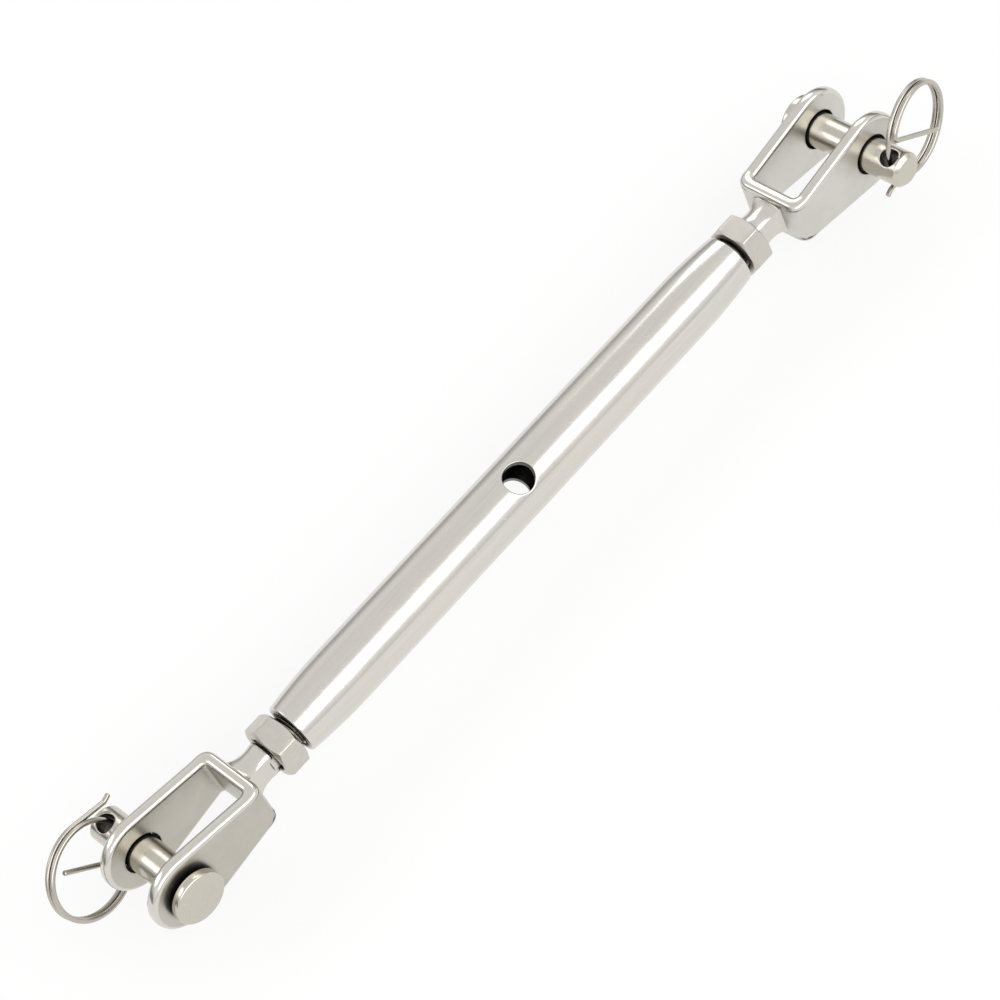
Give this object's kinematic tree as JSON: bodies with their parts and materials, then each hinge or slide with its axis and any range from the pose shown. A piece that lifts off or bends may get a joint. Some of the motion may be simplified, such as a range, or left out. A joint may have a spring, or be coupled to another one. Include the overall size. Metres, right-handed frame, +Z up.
{
  "type": "rigging turnbuckle",
  "caption": "Closed-body rigging turnbuckle: a polished steel tube with a forged jaw, lock nut, clevis pin and split ring at each end, which turning the tube draws together or lets apart.",
  "frame": {"origin": "middle of the tube body, on its axis, with both jaws screwed in", "axes": "+X along the tube towards the left-hand thread, Y along the clevis pins at rest, +Z up out of the open side of the jaws"},
  "size_m": [0.2509, 0.0378, 0.0251],
  "materials": {
    "tube_steel": "polished stainless steel",
    "jaw_steel": "forged and polished stainless steel",
    "nut_steel": "satin stainless steel",
    "pin_steel": "turned stainless steel",
    "ring_wire": "drawn stainless wire"
  },
  "bodies": {
    "tube": {"tube_body": "tube_steel"},
    "right_nut": {"right_thread_lock_nut": "nut_steel"},
    "left_nut": {"left_thread_lock_nut": "nut_steel"},
    "right_jaw": {"right_thread_jaw": "jaw_steel"},
    "left_jaw": {"left_thread_jaw": "jaw_steel"},
    "right_pin": {"right_jaw_clevis_pin": "pin_steel"},
    "left_pin": {"left_jaw_clevis_pin": "pin_steel"},
    "right_ring": {"right_jaw_split_ring": "ring_wire"},
    "left_ring": {"left_jaw_split_ring": "ring_wire"}
  },
  "joints": [
    {"name": "right_nut_travel", "type": "slide", "parent": "tube", "child": "right_nut", "axis": [-1, 0, 0], "range_m": [0, 0.045]},
    {"name": "right_jaw_turn", "type": "hinge", "parent": "right_nut", "child": "right_jaw", "pos_m": [-0.0727, 0, 0], "axis": [-1, 0, 0], "range_deg": [0, 12960]},
    {"name": "left_nut_travel", "type": "slide", "parent": "tube", "child": "left_nut", "axis": [1, 0, 0], "range_m": [0, 0.045]},
    {"name": "left_jaw_turn", "type": "hinge", "parent": "left_nut", "child": "left_jaw", "pos_m": [0.0727, 0, 0], "axis": [-1, 0, 0], "range_deg": [0, 12960]},
    {"name": "right_pin_turn", "type": "hinge", "parent": "right_jaw", "child": "right_pin", "pos_m": [-0.10585, 0, 0], "axis": [0, 1, 0], "continuous": true},
    {"name": "left_pin_turn", "type": "hinge", "parent": "left_jaw", "child": "left_pin", "pos_m": [0.10585, 0, 0], "axis": [0, 1, 0], "continuous": true},
    {"name": "right_ring_swing", "type": "hinge", "parent": "right_pin", "child": "right_ring", "pos_m": [-0.10585, 0.0153, 0], "axis": [0.1564, 0, -0.9877], "range_deg": [0, 203]},
    {"name": "left_ring_swing", "type": "hinge", "parent": "left_pin", "child": "left_ring", "pos_m": [0.10585, -0.0153, 0], "axis": [0.2504, 0, -0.9681], "range_deg": [0, 200]}
  ],
  "couplings": [
    {"joint": "left_nut_travel", "follows": "right_nut_travel", "ratio": 1},
    {"joint": "right_jaw_turn", "follows": "right_nut_travel", "rad_per_m": 5026.5},
    {"joint": "left_jaw_turn", "follows": "right_nut_travel", "rad_per_m": 5026.5}
  ]
}
